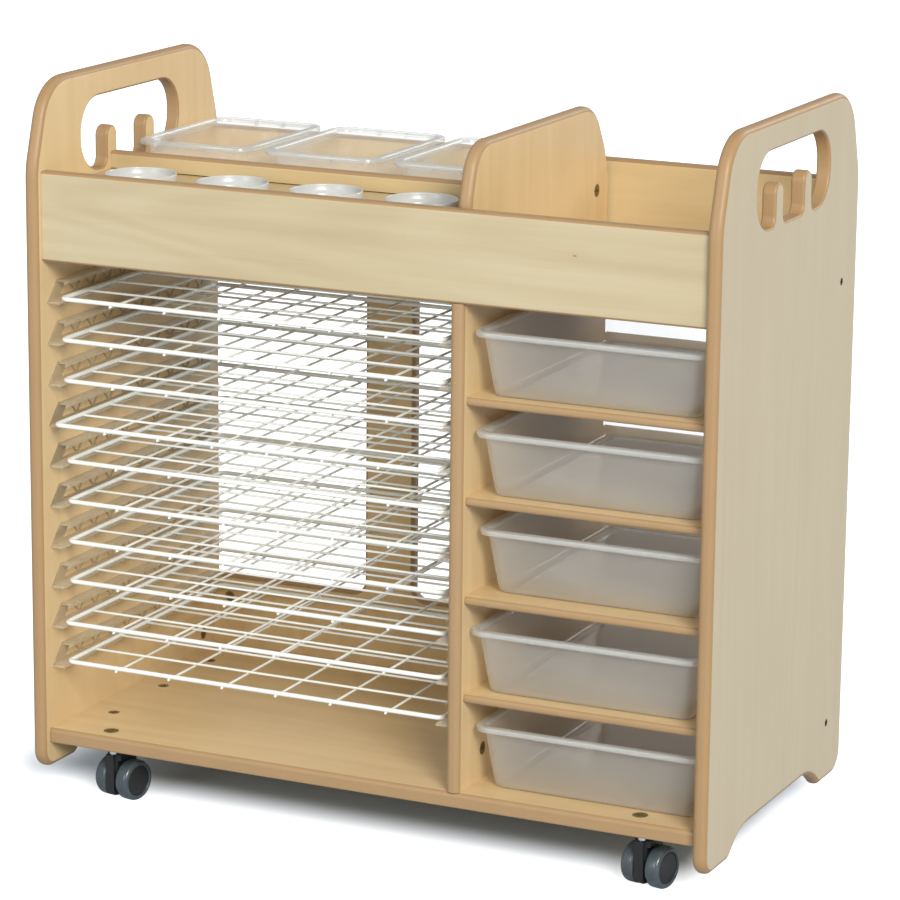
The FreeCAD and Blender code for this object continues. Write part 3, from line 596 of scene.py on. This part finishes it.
# ------------------------------------------------------------------ pots
for i, x in enumerate(POT_X):
    s = Shell()
    h = POT_TOP - FLOOR_T
    M = Matrix.Translation(Vector((x, POT_Y, FLOOR_T + Z0)))
    prof = [(0.0, 1.0), (28.0, 1.0), (30.0, 0.0), (35.2, 0.0), (36.8, 0.8), (38.0, 2.6), (40.1, h * 0.5), (42.0, h - 13.0), (42.3, h - 11.9),
            (43.2, h - 11.4), (45.8, h - 11.4), (46.4, h - 11.0), (46.7, h - 10.2), (46.7, h - 1.2), (46.4, h - 0.4), (45.8, h), (45.1, h),
            (44.5, h - 0.5), (44.3, h - 1.4), (43.9, h - 7.5), (42.6, h - 9.2), (40.6, h - 11.0), (40.0, h - 12.2), (38.0, h * 0.5),
            (36.2, 5.4), (34.8, 3.3), (32.0, 2.5), (0.0, 2.5)]
    s.lathe(prof, 96, "z", closed=False, M=M)
    ob = new_object("paint_cup_%d" % (i + 1), s.v, s.f, 50.0)
    finish_piece(ob, "paint_pot_%d_body" % (i + 1), ["paint_pot_%d" % (i + 1)], M_POT)

# ------------------------------------------------------------------ caster wheels
WI, WO, WR = 8.8, 28.0, 27.0
for c, (px, py, ang) in CASTERS.items():
    M = Matrix.Translation(Vector((px, py, 0))) @ Matrix.Rotation(math.radians(ang), 4, "Z") @ Matrix.Translation(Vector((0, 18.0, WR)))
    s = Shell()
    d = Shell()
    for sg in (1, -1):
        prof = [(3.05, WI), (7.4, WI), (8.4, WI + 0.6), (8.8, WI + 2.0), (20.2, WI + 2.0), (21.2, WI + 0.9), (21.8, WI), (24.6, WI + 0.1), (25.9, WI + 0.8),
                (26.7, WI + 2.1), (27.0, WI + 4.2), (27.0, WI + 8.0), (27.0, WO - 6.6), (26.9, WO - 4.6), (26.4, WO - 2.9), (25.5, WO - 1.5),
                (24.2, WO - 0.6), (22.8, WO - 0.12), (21.5, WO), (20.8, WO - 0.15), (20.3, WO - 0.7), (20.0, WO - 2.2), (3.05, WO - 2.2)]
        s.lathe([(r, sg * h) for r, h in prof], 96, "x", closed=True, M=M)
        dp = [(3.4, WO - 2.4), (3.4, WO - 1.0), (4.2, WO - 0.75), (10.0, WO - 0.65), (17.4, WO - 0.95), (19.2, WO - 1.3), (19.75, WO - 1.8), (19.85, WO - 2.4)]
        dp = [(0.05, WO - 2.4), (0.05, WO - 0.7)] + dp[2:]
        d.lathe([(r, sg * h) for r, h in dp], 96, "x", closed=True, M=M)
    ob = new_object("twin_wheels_" + c, s.v, s.f, 38.0)
    finish_piece(ob, "wheels_" + c, ["caster_wheels_" + c], M_WHEEL)
    ob = new_object("wheel_discs_" + c, d.v, d.f, 38.0)
    finish_piece(ob, "wheels_" + c, ["caster_wheels_" + c], M_DISC)

# ------------------------------------------------------------------ floor
s = Shell()
nx = 12
R = 16000.0
for i in range(nx + 1):
    for j in range(nx + 1):
        s.v.append((-R + 2 * R * i / nx, -R + 2 * R * j / nx, -0.15))
for i in range(nx):
    for j in range(nx):
        a = i * (nx + 1) + j
        s.f.append((a, a + nx + 1, a + nx + 2, a + 1))
floor = new_object("studio_floor", s.v, s.f)
MF = Mat("floor_with_painted_shadow")
fl = MF.noise(MF.mapped((1.3, 1.3, 1.3)), 1.0, 3.0, 0.5)
MF.set(color=MF.mix(fl, (0.50, 0.56, 0.64), (0.49, 0.55, 0.63)), spec=0.1)
MF.set(rough=MF.math("ADD", MF.math("MULTIPLY", fl, 0.1), 0.75))
# painted shadow and painted light: the floor glows white around the trolley, as on a lit studio sweep, and the glow
# fades out under it into a painted shadow; each side of the painted shadow keeps its own softness
fs = MF.node("ShaderNodeSeparateXYZ")
MF.link(MF.coords(), fs.inputs[0])
fx, fy = fs.outputs[0], fs.outputs[1]
# painted shadow mask: 1 under the trolley, ramped down to 0 beyond each side
painted_shadow = MF.math("MULTIPLY", MF.ramp(fx, (-0.640, -0.480, 0.0, 1.0)), MF.ramp(fx, (0.375, 0.452, 1.0, 0.0)))
painted_shadow = MF.math("MULTIPLY", painted_shadow, MF.math("MULTIPLY", MF.ramp(fy, (-0.213, -0.080, 0.0, 1.0)), MF.ramp(fy, (0.250, 0.370, 1.0, 0.0))))
glow = MF.math("SUBTRACT", 1.0, painted_shadow)
# the painted glow, and with it the painted shadow, shows only to camera rays
lp = MF.node("ShaderNodeLightPath")
MF.link(MF.math("MULTIPLY", glow, lp.outputs["Is Camera Ray"]), MF.bsdf.inputs["Emission Strength"])
MF.bsdf.inputs["Emission Color"].default_value = (1.0, 1.0, 1.0, 1.0)
floor.data.materials.append(MF.m)

# ------------------------------------------------------------------ light
world = bpy.data.worlds.new("studio")
bpy.context.scene.world = world
world.use_nodes = True
wt = world.node_tree
wb = wt.nodes["Background"]
wb.inputs[0].default_value = (1.0, 1.0, 1.0, 1.0)
wlp = wt.nodes.new("ShaderNodeLightPath")
wmr = wt.nodes.new("ShaderNodeMapRange")
wmr.inputs["To Min"].default_value = 0.50
wmr.inputs["To Max"].default_value = 1.0
wt.links.new(wlp.outputs["Is Camera Ray"], wmr.inputs["Value"])
wt.links.new(wmr.outputs["Result"], wb.inputs[1])


def area(name, loc, target, size, power, color=(1, 1, 1), size_y=None):
    ld = bpy.data.lights.new(name, "AREA")
    ld.shape = "RECTANGLE"
    ld.size = size
    ld.size_y = size_y or size
    ld.energy = power
    ld.color = color
    ob = bpy.data.objects.new(name, ld)
    bpy.context.scene.collection.objects.link(ob)
    ob.location = loc
    ob.rotation_mode = "QUATERNION"
    ob.rotation_quaternion = (Vector(target) - Vector(loc)).to_track_quat("-Z", "Y")
    return ob


area("key_softbox", (8.0, -9.0, 7.25), (0, 0, 0.5), 4.8, 1930.0, (1.0, 0.985, 0.96))
area("fill_softbox", (-1.6, -4.0, 1.6), (0, 0, 0.5), 1.8, 46.0, (1.0, 0.985, 0.96))
rear = area("rear_softbox", (3.5, 8.0, 4.5), (0, 0, 0.5), 3.0, 190.0, (1.0, 0.985, 0.96))
rear.visible_camera = False

# ------------------------------------------------------------------ camera
R_CV = [[0.9045, 0.426368, 0.009515], [0.109426, -0.210458, -0.971459], [-0.412197, 0.879726, -0.237015]]
C_MM = (2084.57, -4420.22, 1621.5 + Z0)
F_PX = 3878.759
cam_d = bpy.data.cameras.new("camera")
cam = bpy.data.objects.new("camera", cam_d)
bpy.context.scene.collection.objects.link(cam)
rt, dn, fw = (Vector(r).normalized() for r in R_CV)
rot = Matrix((rt, -dn, -fw)).transposed()
cam.matrix_world = Matrix.Translation(Vector(C_MM) * MM) @ rot.to_4x4()
cam_d.sensor_fit = "HORIZONTAL"
cam_d.sensor_width = 36.0
cam_d.lens = F_PX / 900.0 * 36.0
cam_d.clip_start, cam_d.clip_end = 0.1, 100.0
bpy.context.scene.camera = cam
bpy.context.scene.view_settings.view_transform = "Standard"
